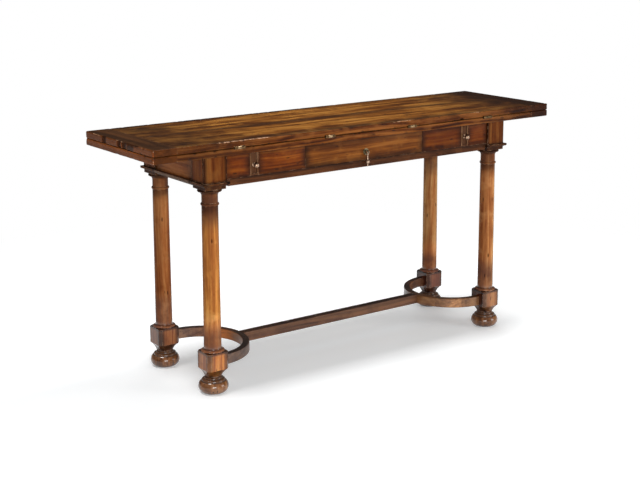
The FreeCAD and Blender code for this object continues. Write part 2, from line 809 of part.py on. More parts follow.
hinge_places = [(i - (hinge_count - 1) / 2) * hinge_pitch for i in range(hinge_count)]
field_half = half_length - cleat_end_width
screw_y = -half_depth + hinge_plate_depth - hinge_screw_setback
barrel_clear = hinge_barrel_radius + hinge_pin_offset


def hinge_leaf(knuckles):
    """Lower hinge plate at x = 0, with the barrel stretches (start, end) that belong to it."""
    plate_top = lower_leaf_top
    plate_back = -half_depth + hinge_plate_depth
    plate = box(-hinge_length / 2, hinge_length / 2, pin_front, plate_back,
                plate_top - hinge_plate_thickness, plate_top)
    barrel_room = Part.makeCylinder(barrel_clear, hinge_length,
                                    vec(-hinge_length / 2, pin_front, pin_height), X_AXIS)
    plate = plate.cut(barrel_room)
    parts = []
    for start, end in knuckles:
        knuckle_start = vec(start, pin_front, pin_height)
        knuckle = Part.makeCylinder(hinge_barrel_radius, end - start, knuckle_start, X_AXIS)
        web = box(start, end, pin_front, -half_depth + 2 * hinge_barrel_radius,
                  plate_top - hinge_plate_thickness, plate_top)
        parts.extend([knuckle, web])
    plate = plate.fuse(parts).removeSplitter()
    pin_hole = Part.makeCylinder(hinge_pin_radius + pin_fit, hinge_length,
                                 vec(-hinge_length / 2, pin_front, pin_height), X_AXIS)
    return plate.cut(pin_hole)


def above(shape):
    """The shape mirrored in the plane between the leaves."""
    return shape.mirror(vec(0, 0, pin_height), Z_AXIS)


middle = hinge_middle_knuckle / 2
outer_start = middle + hinge_knuckle_gap
hinge_end = hinge_length / 2
lower_plate = hinge_leaf([(-hinge_end, -outer_start), (outer_start, hinge_end)])
upper_plate = above(hinge_leaf([(-middle, middle)]))
hinge_screw = countersunk_screw(hinge_screw_head_radius, hinge_screw_radius, hinge_screw_length)
hinge_screw_hole = screw_hole(hinge_screw_head_radius, hinge_screw_radius, hinge_screw_length)
hinge_pin = Part.makeCylinder(hinge_pin_radius, hinge_length, vec(-hinge_end, pin_front, pin_height), X_AXIS)

lower_plates = []
upper_plates = []
hinge_pins = []
lower_screws = []
leaf_cuts = []
for place in hinge_places:
    holes = []
    for side in (-1, 1):
        screw_x = side * hinge_screw_pitch / 2
        holes.append(moved(hinge_screw_hole, screw_x, screw_y, lower_leaf_top))
        lower_screws.append(moved(hinge_screw, place + screw_x, screw_y, lower_leaf_top))
    upper_holes = [above(hole) for hole in holes]
    lower_plates.append(moved(lower_plate.cut(holes), place, 0, 0))
    upper_plates.append(moved(upper_plate.cut(upper_holes), place, 0, 0))
    hinge_pins.append(moved(hinge_pin, place, 0, 0))
    seat = box(-hinge_end - glue_fit, hinge_end + glue_fit, -half_depth - hinge_barrel_radius,
               -half_depth + hinge_plate_depth + glue_fit, lower_leaf_top - hinge_plate_thickness,
               lower_leaf_top)
    barrel_notch = Part.makeCylinder(barrel_clear, hinge_length + 2 * slide_fit,
                                     vec(-hinge_end - slide_fit, pin_front, pin_height), X_AXIS)
    for cut in [seat, barrel_notch] + holes:
        leaf_cuts.append(moved(cut, place, 0, 0))
upper_screws = [above(screw) for screw in lower_screws]

pieces["hinge_lower_plates"] = Part.makeCompound(lower_plates)
pieces["hinge_upper_plates"] = Part.makeCompound(upper_plates)
pieces["hinge_pins"] = Part.makeCompound(hinge_pins)
pieces["hinge_lower_screws"] = Part.makeCompound(lower_screws)
pieces["hinge_upper_screws"] = Part.makeCompound(upper_screws)


def seam_vee(x0, x1, y0, y1, z):
    """V groove along a straight board seam, from one point to the other at height z."""
    along = vec(x1 - x0, y1 - y0, 0)
    across = Z_AXIS.cross(along)
    across.normalize()
    corners = [vec(x0, y0, z) + across * board_seam_vee, vec(x0, y0, z - board_seam_vee),
               vec(x0, y0, z) - across * board_seam_vee]
    return Part.Face(Part.makePolygon(corners + corners[:1])).extrude(along)


def leaf_pieces(slab, bottom, vee_heights):
    """Splits a leaf into front board, back board, left end and right end, tongued together."""
    for z, sense in vee_heights:
        seams = [seam_vee(-field_half, field_half, 0, 0, 0)]
        for side in (-1, 1):
            seams.append(seam_vee(side * field_half, side * field_half, -half_depth, half_depth, 0))
        for seam in seams:
            if sense < 0:
                seam = flipped(seam, Z_AXIS)
            slab = slab.cut(moved(seam, 0, 0, z))
    top = bottom + leaf_thickness
    mid = bottom + leaf_thickness / 2
    tongue_reach = half_depth - tongue_setback
    boards = []
    for y0, y1 in ((-half_depth, 0), (0, half_depth)):
        board = slab.common(box(-field_half, field_half, y0, y1, bottom, top))
        tongue = box(field_half, field_half + tongue_length, max(y0, -tongue_reach), min(y1, tongue_reach),
                     mid - tongue_thickness / 2, mid + tongue_thickness / 2)
        boards.append(board.fuse([tongue, flipped(tongue, X_AXIS)]).removeSplitter())
    groove = box(field_half, field_half + tongue_length + glue_fit, -tongue_reach - glue_fit,
                 tongue_reach + glue_fit, mid - tongue_thickness / 2, mid + tongue_thickness / 2)
    right_end = slab.common(box(field_half, half_length, -half_depth, half_depth, bottom, top)).cut(groove)
    left_end = slab.common(box(-half_length, -field_half, -half_depth, half_depth, bottom, top))
    left_end = left_end.cut(flipped(groove, X_AXIS))
    return boards[0], boards[1], left_end, right_end


# Blocks inside the apron with screws that hold the top down

top_blocks = []
top_screws = []
top_screw_holes = []
screw_length = top_block_size + top_screw_bite
top_screw = flipped(countersunk_screw(top_screw_head_radius, top_screw_radius, screw_length), Z_AXIS)
top_hole = flipped(screw_hole(top_screw_head_radius, top_screw_radius, screw_length), Z_AXIS)
half_block = top_block_size / 2
half_block_length = top_block_length / 2
block_places = []
for side in (-1, 1):
    for y in (-top_block_offset, top_block_offset):
        block_places.append((side * (end_inner - half_block), y, half_block, half_block_length))
    block_places.append((side * top_block_offset, apron_inner - half_block, half_block_length, half_block))
for x, y, reach_x, reach_y in block_places:
    hole = moved(top_hole, x, y, underside - top_block_size)
    block = box(x - reach_x, x + reach_x, y - reach_y, y + reach_y, underside - top_block_size, underside)
    top_blocks.append(block.cut(hole))
    top_screws.append(moved(top_screw, x, y, underside - top_block_size))
    top_screw_holes.append(hole)
pieces["top_blocks"] = Part.makeCompound(top_blocks)
pieces["top_screws"] = Part.makeCompound(top_screws)

leaf_names = ("front_board", "back_board", "left_end", "right_end")
lower_slab = box(-half_length, half_length, -half_depth, half_depth, underside, lower_leaf_top)
lower_slab = lower_slab.makeFillet(leaf_edge_round, lower_slab.Edges)
upper_slab = above(lower_slab).cut([above(cut) for cut in leaf_cuts])
lower_slab = lower_slab.cut(leaf_cuts + top_screw_holes)
for name, shape in zip(leaf_names, leaf_pieces(lower_slab, underside, [(lower_leaf_top, 1)])):
    pieces[f"lower_leaf_{name}"] = shape
upper_seams = [(table_height, 1), (upper_leaf_bottom, -1)]
for name, shape in zip(leaf_names, leaf_pieces(upper_slab, upper_leaf_bottom, upper_seams)):
    pieces[f"upper_leaf_{name}"] = shape

# The origin lies on the floor, midway between the back edge of the top and the hinge barrels at the front

os.makedirs("parts", exist_ok=True)
for name, shape in pieces.items():
    placed = moved(shape, 0, barrel_proud / 2, 0)
    placed.exportStep(f"parts/{name}.step")
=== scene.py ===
import math
import random

import bmesh
import bpy
from mathutils import Matrix, Vector, noise


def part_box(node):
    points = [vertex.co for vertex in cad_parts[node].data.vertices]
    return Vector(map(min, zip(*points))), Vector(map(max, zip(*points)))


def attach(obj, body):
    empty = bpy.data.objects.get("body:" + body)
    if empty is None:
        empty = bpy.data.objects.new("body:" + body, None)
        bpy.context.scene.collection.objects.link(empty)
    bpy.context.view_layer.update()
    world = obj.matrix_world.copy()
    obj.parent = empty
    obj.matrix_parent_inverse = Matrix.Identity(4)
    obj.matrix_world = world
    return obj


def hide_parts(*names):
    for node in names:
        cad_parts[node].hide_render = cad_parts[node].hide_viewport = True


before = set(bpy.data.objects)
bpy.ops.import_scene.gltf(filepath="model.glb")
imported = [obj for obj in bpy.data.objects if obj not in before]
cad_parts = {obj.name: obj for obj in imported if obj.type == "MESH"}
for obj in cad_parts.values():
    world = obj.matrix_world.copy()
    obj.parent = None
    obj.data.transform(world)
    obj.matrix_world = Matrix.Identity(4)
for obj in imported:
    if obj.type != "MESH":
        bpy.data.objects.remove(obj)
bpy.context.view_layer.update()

# Bun feet
# Four flattened balls turned from solid walnut, each with a bead, a neck ring and a dowel glued into the
# leg block. The stain is rubbed thin on the belly and stays dark in the grooves, and the lacquer is glossy.
# Shade is painted on their sides, and at the bottom where they meet the floor.

X, Y, Z = 0, 1, 2
LOW, HIGH = -1, 1


class Finish:
    """A material in the making, whose methods add shader nodes and return what they give."""

    def __init__(self, name):
        self.material = bpy.data.materials.new(name)
        self.material.use_nodes = True
        self.tree = self.material.node_tree
        self.tree.nodes.clear()
        texture_space = self.node("TexCoord", {}).outputs
        self.coords = texture_space["Object"]
        self.place = self.node("SeparateXYZ", {"Vector": self.coords}).outputs
        self.looks = self.node("SeparateXYZ", {"Vector": texture_space["Normal"]}).outputs

    def node(self, kind, inputs, **settings):
        node = self.tree.nodes.new("ShaderNode" + kind)
        for key, value in settings.items():
            setattr(node, key, value)
        for key, value in inputs.items():
            if isinstance(value, bpy.types.NodeSocket):
                self.tree.links.new(value, node.inputs[key])
            else:
                node.inputs[key].default_value = value
        return node

    def math(self, operation, first, second=0.0, third=0.0):
        return self.node("Math", {0: first, 1: second, 2: third}, operation=operation).outputs[0]

    def vector(self, operation, first, second=(0, 0, 0), third=(0, 0, 0)):
        node = self.node("VectorMath", {0: first, 1: second, 2: third}, operation=operation)
        return node.outputs["Value" if operation in ("LENGTH", "DOT_PRODUCT") else "Vector"]

    def noise(self, place, detail=2.0, roughness=0.5, output="Fac"):
        return self.node("TexNoise", {"Vector": place, "Scale": 1.0, "Detail": detail,
                                      "Roughness": roughness}).outputs[output]

    def stretched(self, place, scale, shift=(0, 0, 0)):
        """Coordinates for a pattern with that many waves per metre along each axis."""
        return self.node("Mapping", {"Vector": place, "Scale": scale, "Location": shift}).outputs[0]

    def rise(self, value, clear, full):
        """0 where the value is at clear, 1 where it is at full, smooth between."""
        return self.node("MapRange", {"Value": value, "From Min": clear, "From Max": full},
                         interpolation_type="SMOOTHSTEP").outputs[0]

    def band(self, axis, *edges):
        """1 along the stretch of an axis that all its (clear, full) edges leave in."""
        inside = self.rise(self.place[axis], *edges[0])
        for edge in edges[1:]:
            inside = self.math("MULTIPLY", inside, self.rise(self.place[axis], *edge))
        return inside

    def mix(self, factor, first, second, blend="MIX"):
        node = self.node("Mix", {0: factor, 6: first, 7: second}, data_type="RGBA", blend_type=blend)
        return node.outputs[2]

    def tones(self, value, stops):
        """Colour ramp through (position, colour) stops."""
        node = self.node("ValToRGB", {"Fac": value})
        ramp = node.color_ramp.elements
        while len(ramp) < len(stops):
            ramp.new(1.0)
        for element, (position, colour) in zip(ramp, stops):
            element.position = position
            element.color = colour
        return node.outputs["Color"]

    def surface(self, colour, roughness, height, depth, **sockets):
        """The shader itself, with a relief of height times depth in metres."""
        relief = self.node("Bump", {"Height": height, "Distance": depth, "Strength": 1.0}).outputs[0]
        inputs = {"Base Color": colour, "Roughness": roughness, "Normal": relief}
        for key, value in sockets.items():
            inputs[key.replace("_", " ").title().replace("Ior", "IOR")] = value
        shader = self.node("BsdfPrincipled", inputs).outputs[0]
        self.node("OutputMaterial", {"Surface": shader})
        return self.material


def paint(red, green, blue):
    """Colour as it is seen on screen, 0 to 255, turned into linear light."""
    return tuple(((c / 255 + 0.055) / 1.055) ** 2.4 for c in (red, green, blue)) + (1.0,)


GRAIN_TURN = {X: (0, 0, 0), Y: (0, 0, -math.pi / 2), Z: (0, math.pi / 2, 0)}
PLANK_STEP = (1.0, 0.37, 0.71)
DRIFT_WAVES = (1.8, 5.5, 5.5)
DRIFT = (0.0, 0.06, 0.06)


def lay_grain(wood, grain, shift):
    """Coordinates of a plank that runs along X, with fibres that drift sideways. shift picks the plank."""
    plank = wood.node("Mapping", {"Vector": wood.coords, "Rotation": GRAIN_TURN[grain],
                                  "Location": tuple(step * shift for step in PLANK_STEP)}).outputs[0]
    drift = wood.noise(wood.stretched(plank, DRIFT_WAVES), 2.0, output="Color")
    drift = wood.vector("SUBTRACT", drift, (0.5, 0.5, 0.5))
    return wood.vector("MULTIPLY_ADD", drift, DRIFT, plank)


WEAK_STAIN = 0.6


def stain_and_shade_cover(wood, grain, bands, upward, worked):
    """Cover of the stain colour: faces that look up, and bands of stain and of painted shade, on a worked
    piece mostly on level faces.
    """
    cover = wood.math("MULTIPLY", wood.rise(wood.looks[Z], 0.5, 0.9), upward)
    for band in bands:
        stretch = wood.band(*band)
        if worked:
            level = wood.rise(wood.math("ABSOLUTE", wood.looks[Z]), 0.35, 0.75)
            on_edges = WEAK_STAIN if band[0] == grain else 0.0
            level = wood.math("MULTIPLY_ADD", level, 1 - on_edges, on_edges)
            stretch = wood.math("MULTIPLY", stretch, level)
        cover = wood.math("MAXIMUM", cover, stretch)
    return cover


MARGIN_FADE = 0.013


def billet_margin(wood, middle, reach):
    """1 on the chamfers and the sides of the faces of a square upright billet, 0 amid its faces."""
    margin = 1.0
    for axis, across in ((X, Y), (Y, X)):
        aside = wood.math("ABSOLUTE", wood.math("SUBTRACT", wood.place[across], middle[across]))
        facing = wood.rise(wood.math("ABSOLUTE", wood.looks[axis]), 0.85, 0.97)
        clear = wood.math("MULTIPLY", facing, wood.rise(aside, reach, reach - MARGIN_FADE))
        margin = wood.math("SUBTRACT", margin, clear)
    return margin


FLECK_WAVES = (26, 90, 90)


def dark_flecks(wood, plank, spots):
    """Short dark marks along the fibres, in that share of the places where one could be."""
    cells = wood.node("TexVoronoi", {"Vector": wood.stretched(plank, FLECK_WAVES), "Scale": 1.0}).outputs
    chance = wood.node("SeparateColor", {"Color": cells["Color"]}).outputs[0]
    marks = wood.rise(cells["Distance"], 0.26, 0.12)
    return wood.math("MULTIPLY", marks, wood.rise(chance, 1 - spots, 1.02 - spots))


CRUMB_WAVES = (70, 70, 70)


def worn_and_glinting_arrises(wood, width):
    """Crumbs along the arrises, as wide as given, where the finish is worn off and where highlights are
    painted.
    """
    faces = wood.node("NewGeometry", {}).outputs["Normal"]
    eased = wood.node("Bevel", {"Radius": width}, samples=4).outputs[0]
    arris = wood.rise(wood.vector("DOT_PRODUCT", eased, faces), 0.985, 0.86)
    crumbs = wood.noise(wood.stretched(wood.coords, CRUMB_WAVES), 2.0)
    return wood.math("MULTIPLY", arris, wood.rise(crumbs, 0.47, 0.62))


PALE_RUN_WAVES = (130, 130, 230)


def pale_runs(wood):
    """Broken streaks in the pale runs of a worked piece, of worn finish and of painted highlight."""
    run = wood.node("Attribute", {}, attribute_name="wear_and_glint").outputs["Fac"]
    fine = wood.noise(wood.stretched(wood.coords, PALE_RUN_WAVES), 2.0)
    pale_streaks = wood.rise(wood.math("MULTIPLY_ADD", run, 0.4, fine), 0.64, 0.72)
    return wood.math("MULTIPLY", pale_streaks, wood.rise(run, 0.02, 0.20))


PITH = (0, 0.02, 0.09)
RINGS_PER_METRE = 70.0
STREAK_WAVES = (5.0, 130, 130)
FLAME_WAVES = (2.6, 32, 32)
MOTTLE_WAVES = (14, 14, 14)
PORE_WAVES = (40, 1300, 1300)
RING_SHARE, STREAK_SHARE, FLAME_SHARE = 0.30, 0.30, 0.40
TONE_SPREAD = 0.09
DARK_MOTTLE, LIGHT_MOTTLE = 0.55, 0.40
EVEN_STAIN = 0.65
MARGIN_STAIN = 0.80
PORE_GLAZE, HOLLOW_GLAZE, FLECK_GLAZE, NICK_GLAZE = 0.30, 0.88, 0.75, 0.85
HOLLOW_REACH = 0.010
GRAIN_RELIEF = 0.00025
LACQUER_ROUGHNESS = 0.10
# Dark glaze of the finish, also the colour of the painted shade on the end rails and round the panels.
GLAZE_AND_SHADE = paint(36, 19, 10)
BARE_WOOD_AND_GLINT = paint(180, 140, 110)
ARRIS_STAIN = paint(38, 23, 14)


def walnut(name, grain, tones, shift=0.0, figure=1.0, stain=GLAZE_AND_SHADE, bands=(), depth=0.85, tints=(),
           sides=(), upward=0.0, edged=(), spots=0.12, wear_and_glint=0.5, arris_width=0.0022, worked=False,
           gloss=0.42, shine=0.08, coat=0.0, polished=()):
    """Aged walnut with its grain along an axis. tones are its dark, middle and light colours.

    figure is how strongly the grain shows. bands are the stretches, as in Finish.band, that take the stain
    colour: stain left on, and on some pieces painted shade. depth is how dark it is there, and upward
    darkens the faces that look up with it. tints are (colour, band) pairs that multiply the colour, and
    sides (axis, side, colour) triples that multiply it on faces that look that way, on some pieces as
    painted light and shade. edged are (middle, reach, band) triples: where an upright billet about that
    middle is square, stain is left on its chamfers and on the sides of its faces, in full from reach
    outwards. spots is the share of dark flecks, and wear_and_glint the paleness of the arrises, worn
    through the finish and painted as highlights. A worked piece has nicks and pale runs of wear and painted
    highlight of its own, and its bands are on level faces, and weaker on its edges if they follow the
    grain. coat is the lacquer, only in the polished bands if there are any."""
    wood = Finish(name)
    plank = lay_grain(wood, grain, shift)
    from_pith = wood.vector("LENGTH", wood.vector("MULTIPLY_ADD", plank, (0, 1, 1), PITH))
    rings = wood.node("TexNoise", {"W": from_pith, "Scale": RINGS_PER_METRE, "Detail": 2.0,
                                   "Roughness": 0.6}, noise_dimensions="1D").outputs["Fac"]
    streaks = wood.noise(wood.stretched(plank, STREAK_WAVES), 3.0, 0.6)
    flame = wood.noise(wood.stretched(plank, FLAME_WAVES), 2.0)
    mottle = wood.noise(wood.stretched(wood.coords, MOTTLE_WAVES, (shift, 0, 0)), 3.0, 0.6)
    pores = wood.rise(wood.noise(wood.stretched(plank, PORE_WAVES), 1.0), 0.56, 0.70)
    tone = wood.math("MULTIPLY_ADD", rings, RING_SHARE, wood.math("MULTIPLY", streaks, STREAK_SHARE))
    tone = wood.math("MULTIPLY_ADD", flame, FLAME_SHARE, tone)
    spread = TONE_SPREAD / figure
    colour = wood.tones(tone, ((0.5 - spread, tones[0]), (0.5, tones[1]), (0.5 + spread, tones[2])))
    dark_patch = wood.math("MULTIPLY", wood.rise(mottle, 0.52, 0.70), DARK_MOTTLE)
    colour = wood.mix(dark_patch, colour, tones[0])
    light_patch = wood.math("MULTIPLY", wood.rise(mottle, 0.46, 0.32), LIGHT_MOTTLE)
    colour = wood.mix(light_patch, colour, tones[2])
    colour = wood.mix(wood.math("MULTIPLY", pores, PORE_GLAZE), colour, GLAZE_AND_SHADE)
    for axis, side, tint in sides:
        colour = wood.mix(wood.rise(wood.looks[axis], side * 0.25, side * 0.7), colour, tint, "MULTIPLY")

    ragged = wood.math("MULTIPLY_ADD", mottle, 0.6, wood.math("MULTIPLY", streaks, 0.4))
    patchy = wood.math("MULTIPLY_ADD", wood.rise(ragged, 0.38, 0.60), 1 - EVEN_STAIN, EVEN_STAIN)
    cover = wood.math("MULTIPLY", stain_and_shade_cover(wood, grain, bands, upward, worked), patchy)
    colour = wood.mix(wood.math("MULTIPLY", cover, depth), colour, stain)
    for middle, reach, band in edged:
        margin = wood.math("MULTIPLY", billet_margin(wood, middle, reach), patchy)
        margin = wood.math("MULTIPLY", margin, wood.band(*band))
        colour = wood.mix(wood.math("MULTIPLY", margin, MARGIN_STAIN), colour, ARRIS_STAIN)
    for tint, band in tints:
        colour = wood.mix(wood.band(*band), colour, tint, "MULTIPLY")
    openness = wood.node("AmbientOcclusion", {"Distance": HOLLOW_REACH}, only_local=True, samples=6)
    hollow = wood.rise(openness.outputs["AO"], 0.92, 0.50)
    colour = wood.mix(wood.math("MULTIPLY", hollow, HOLLOW_GLAZE), colour, GLAZE_AND_SHADE)
    colour = wood.mix(wood.math("MULTIPLY", dark_flecks(wood, plank, spots), FLECK_GLAZE), colour, GLAZE_AND_SHADE)
    bare_and_glint = wood.math("MULTIPLY", worn_and_glinting_arrises(wood, arris_width), wear_and_glint)
    if worked:
        bare_and_glint = wood.math("MAXIMUM", bare_and_glint, pale_runs(wood))
    colour = wood.mix(bare_and_glint, colour, BARE_WOOD_AND_GLINT)
    if worked:
        nick = wood.node("Attribute", {}, attribute_name="nick").outputs["Fac"]
        colour = wood.mix(wood.math("MULTIPLY", wood.rise(nick, 0.2, 0.8), NICK_GLAZE), colour, GLAZE_AND_SHADE)

    height = wood.math("MULTIPLY_ADD", pores, -0.7, wood.math("MULTIPLY", streaks, 0.5))
    roughness = wood.math("MULTIPLY_ADD", mottle, 0.2, gloss - 0.1)
    lacquer = 0.0 if polished else coat
    for band in polished:
        lacquer = wood.math("MAXIMUM", lacquer, wood.math("MULTIPLY", wood.band(*band), coat))
    return wood.surface(colour, roughness, height, GRAIN_RELIEF, specular_ior_level=shine,
                        coat_weight=lacquer, coat_roughness=LACQUER_ROUGHNESS)


def finish_nodes(material, slot, *names):
    """Gives CAD nodes a finish in place of the plain one that they come with."""
    for name in names:
        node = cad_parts[name]
        node.data.materials.clear()
        node.data.materials.append(material)


# Painted shade: turned pieces are darker on the sides that look along X, as a round column is shaded.
TURNED_SIDE_SHADE = [(X, LOW, (0.74, 0.70, 0.68, 1.0)), (X, HIGH, (0.76, 0.72, 0.70, 1.0))]
FOOT_TONES = (paint(62, 35, 20), paint(130, 82, 46), paint(188, 134, 88))
FOOT_STAIN_AND_SHADE = paint(88, 56, 34)
# Painted shade at the bottom of the foot, where it meets the floor, in the same colour as the stain.
FOOT_SOLE_SHADE = (Z, (0.014, 0.0))
FOOT_SHOULDER = (Z, (0.034, 0.038))
foot_walnut = walnut("foot_walnut", Z, FOOT_TONES, shift=3.1, figure=0.7, spots=0.25, stain=FOOT_STAIN_AND_SHADE,
                     bands=[FOOT_SOLE_SHADE, FOOT_SHOULDER], sides=TURNED_SIDE_SHADE, gloss=0.28, shine=0.2, coat=0.8)
for end in ("left", "right"):
    finish_nodes(foot_walnut, "turned_walnut", f"front_{end}_foot", f"back_{end}_foot")

# Legs
# Each leg is one turned walnut billet: square block below, tapered column with rings, square capital and
# post. Stain is left on both ends of the column and along the arrises of the block and the post, and the
# shaft is rubbed. No two legs have the same tone. Shade is painted on their sides and on the inner face of
# each block where the arc meets it, a highlight is painted on the base ring, and the arrises are pale from
# wear and from painted highlights.

LEG_TONES = (paint(140, 74, 36), paint(190, 117, 61), paint(222, 156, 92))
LEG_STAIN_AND_SHADE = paint(87, 53, 36)
# Stretches of a leg by height, and distances of its faces from its axis, as (clear, full) edges in metres.
BLOCK_TAPER = (Z, (0.070, 0.056))
BLOCK = (Z, (0.136, 0.130))
BLOCK_SQUARE = (Z, (0.130, 0.124))
UNDER_BASE_RING = (Z, (0.1215, 0.1245), (0.1290, 0.1275))
# Painted highlight: the base ring is made paler, for the gloss on it catching the light.
BASE_RING = (Z, (0.1285, 0.1300), (0.1345, 0.1330))
OVER_BASE_RING = (Z, (0.1335, 0.1350), (0.1400, 0.1385))
LOWER_SHAFT = (Z, (0.126, 0.132), (0.260, 0.190))
SHAFT = (Z, (0.190, 0.260), (0.565, 0.505))
UNDER_NECK_RING = (Z, (0.536, 0.562), (0.572, 0.569))
CAPITAL = (Z, (0.601, 0.611), (0.642, 0.634))
POST = (Z, (0.634, 0.642))
POST_SQUARE = (Z, (0.630, 0.640))
COLUMN_FOOT, LOWER_FADE = (0.118, 0.130), (0.03, -0.03)
COLUMN_HEAD, UPPER_FADE = (0.650, 0.636), (-0.03, 0.04)
LACQUERED = (Z, (0.150, 0.140))
POST_FACE = (0.0362, 0.0368)
BLOCK_FACE = (0.0340, 0.0357)
POST_MARGIN = 0.036
BLOCK_MARGIN = 0.026

# Each leg has the tint of its shaft, the tint of its block, and the heights between which it is rubbed.
# The back right column is stained from lower down, which also paints the apron's shade on its head.
LEGS = {"front_left": ((1.40, 1.64, 1.42, 1.0), (1.06, 0.98, 0.68, 1.0), 0.200, 0.510),
        "front_right": ((1.06, 1.17, 1.38, 1.0), (0.66, 0.60, 0.58, 1.0), 0.230, 0.535),
        "back_left": ((0.68, 0.64, 0.65, 1.0), (0.62, 0.58, 0.58, 1.0), 0.230, 0.535),
        "back_right": ((0.89, 1.07, 1.30, 1.0), (0.52, 0.43, 0.52, 1.0), 0.200, 0.495)}
for count, (corner, (shaft_shade, block_shade, rubbed_low, rubbed_high)) in enumerate(LEGS.items()):
    leg_low, leg_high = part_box(f"{corner}_leg")
    middle = (leg_low + leg_high) / 2
    inward = LOW if middle.x > 0 else HIGH
    # The post's left face is made lighter, which takes back most of the painted side shade there.
    post_left_face = (X, tuple(middle.x - side for side in POST_FACE))
    # Painted shade on the inner face of each block, where the arc meets it.
    block_inner_shade = (X, tuple(middle.x + inward * side for side in BLOCK_FACE))
    column_head = (Z, tuple(rubbed_high + fade for fade in UPPER_FADE), COLUMN_HEAD)
    column_foot = (Z, tuple(rubbed_low + fade for fade in LOWER_FADE), COLUMN_FOOT)
    leg_tints = [(shaft_shade, SHAFT),
                 ((0.52, 0.50, 0.52, 1.0), UNDER_NECK_RING),
                 ((1.35, 1.45, 1.80, 1.0), LOWER_SHAFT),
                 ((0.32, 0.255, 0.175, 1.0), POST),
                 ((0.36, 0.35, 0.36, 1.0), CAPITAL),
                 (block_shade, BLOCK),
                 ((0.50, 0.46, 0.46, 1.0), UNDER_BASE_RING),
                 ((1.45, 1.40, 1.40, 1.0), BASE_RING),
                 ((0.55, 0.50, 0.50, 1.0), OVER_BASE_RING),
                 ((1.45, 1.38, 1.0, 1.0), post_left_face),
                 ((0.35, 0.28, 0.28, 1.0), block_inner_shade)]
    leg_walnut = walnut(f"{corner}_leg_walnut", Z, LEG_TONES, shift=1.3 + 0.9 * count, figure=0.9,
                        stain=LEG_STAIN_AND_SHADE, bands=[column_head, column_foot, BLOCK_TAPER], depth=0.95,
                        tints=leg_tints, sides=TURNED_SIDE_SHADE, spots=0.24, wear_and_glint=0.8, arris_width=0.0035,
                        edged=[(middle, POST_MARGIN, POST_SQUARE), (middle, BLOCK_MARGIN, BLOCK_SQUARE)],
                        shine=0.05, coat=0.8, polished=[LACQUERED])
    finish_nodes(leg_walnut, "turned_walnut", f"{corner}_leg")

# Stretchers
# Two semicircles sawn from thick walnut and tenoned into the blocks, and a straight bar tenoned between
# them. Their tops are darkened nearly black. The left arc is lighter on its hollow side and towards the
# back, the right one has a painted highlight beside its crown, and the back of the right one is dark.

LEFT_ARC_TONES = (paint(76, 53, 42), paint(98, 72, 58), paint(122, 90, 66))
LEFT_ARC_BACK = (Y, (0.02, 0.09))
LEFT_ARC_QUARTER = (Y, (0.01, 0.04), (0.085, 0.065))
left_arc_walnut = walnut("left_arc_walnut", Y, LEFT_ARC_TONES, shift=5.2, upward=0.95, shine=0.6,
                         sides=[(X, LOW, (1.65, 1.30, 0.90, 1.0))],
                         tints=[((1.65, 1.60, 1.60, 1.0), LEFT_ARC_BACK),
                                ((1.45, 1.10, 0.60, 1.0), LEFT_ARC_QUARTER)])
RIGHT_ARC_TONES = (paint(98, 62, 36), paint(132, 88, 52), paint(158, 112, 68))
RIGHT_ARC_BACK = (Y, (0.0, 0.05))
# Painted highlight beside the crown of the right arc, on both halves; the back half is then darkened.
CROWN_HIGHLIGHT = (X, (0.385, 0.420), (0.460, 0.428))
right_arc_walnut = walnut("right_arc_walnut", Y, RIGHT_ARC_TONES, shift=7.7, upward=0.75, shine=0.4,
                          tints=[((2.20, 2.30, 2.40, 1.0), CROWN_HIGHLIGHT),
                                 ((0.45, 0.36, 0.36, 1.0), RIGHT_ARC_BACK)], coat=0.35)
BAR_TONES = (paint(70, 42, 27), paint(98, 63, 41), paint(126, 84, 55))
bar_walnut = walnut("bar_walnut", X, BAR_TONES, shift=6.1, upward=0.8, shine=0.4)
finish_nodes(left_arc_walnut, "turned_walnut", "left_arc_stretcher")
finish_nodes(right_arc_walnut, "turned_walnut", "right_arc_stretcher")
finish_nodes(bar_walnut, "turned_walnut", "long_stretcher")

# Apron
# Walnut rails tenoned into the posts, with fixed panels in front and a moulding along the bottom of each
# end. The panels have eased arrises, and are darker at their ends, top and bottom, from stain left there
# and from painted shade under the top and beside the parts they meet. The end rails carry a painted shadow
# of the top's overhang.

SHARP_ANGLE = math.radians(32)
TOUCH = 1e-5
EASE = 0.0012
# Widths of the darker rims of the front pieces: stain, and painted shade under the top and beside the parts
# they meet.
RIM_END, RIM_TOP, RIM_BOTTOM = 0.028, 0.026, 0.022


def show(name, bm, material, body, slot, *nodes):
    """Makes a piece from a bmesh: smooth where it is round, riding on a body in place of CAD nodes."""
    mesh = bpy.data.meshes.new(name)
    bm.to_mesh(mesh)
    bm.free()
    mesh.shade_smooth()
    mesh.set_sharp_from_angle(angle=SHARP_ANGLE)
    mesh.materials.append(material)
    piece = bpy.data.objects.new(name, mesh)
    bpy.context.collection.objects.link(piece)
    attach(piece, body)
    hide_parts(*nodes)
    return piece


def eased_front(node):
    """Copy of a flat CAD piece with the arrises round its front face eased."""
    bm = bmesh.new()
    bm.from_mesh(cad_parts[node].data)
    bmesh.ops.remove_doubles(bm, verts=bm.verts, dist=TOUCH)
    bmesh.ops.dissolve_limit(bm, angle_limit=math.radians(1), verts=bm.verts, edges=bm.edges)
    low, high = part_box(node)
    border = [e for e in bm.edges if all(abs(v.co.y - low.y) < TOUCH for v in e.verts)
              and any(all(abs(v.co[axis] - side[axis]) < TOUCH for v in e.verts)
                      for axis in (X, Z) for side in (low, high))]
    bmesh.ops.bevel(bm, geom=border, offset=EASE, offset_type="OFFSET", segments=3, profile=0.5,
                    affect="EDGES", material=-1, clamp_overlap=True)
    return bm


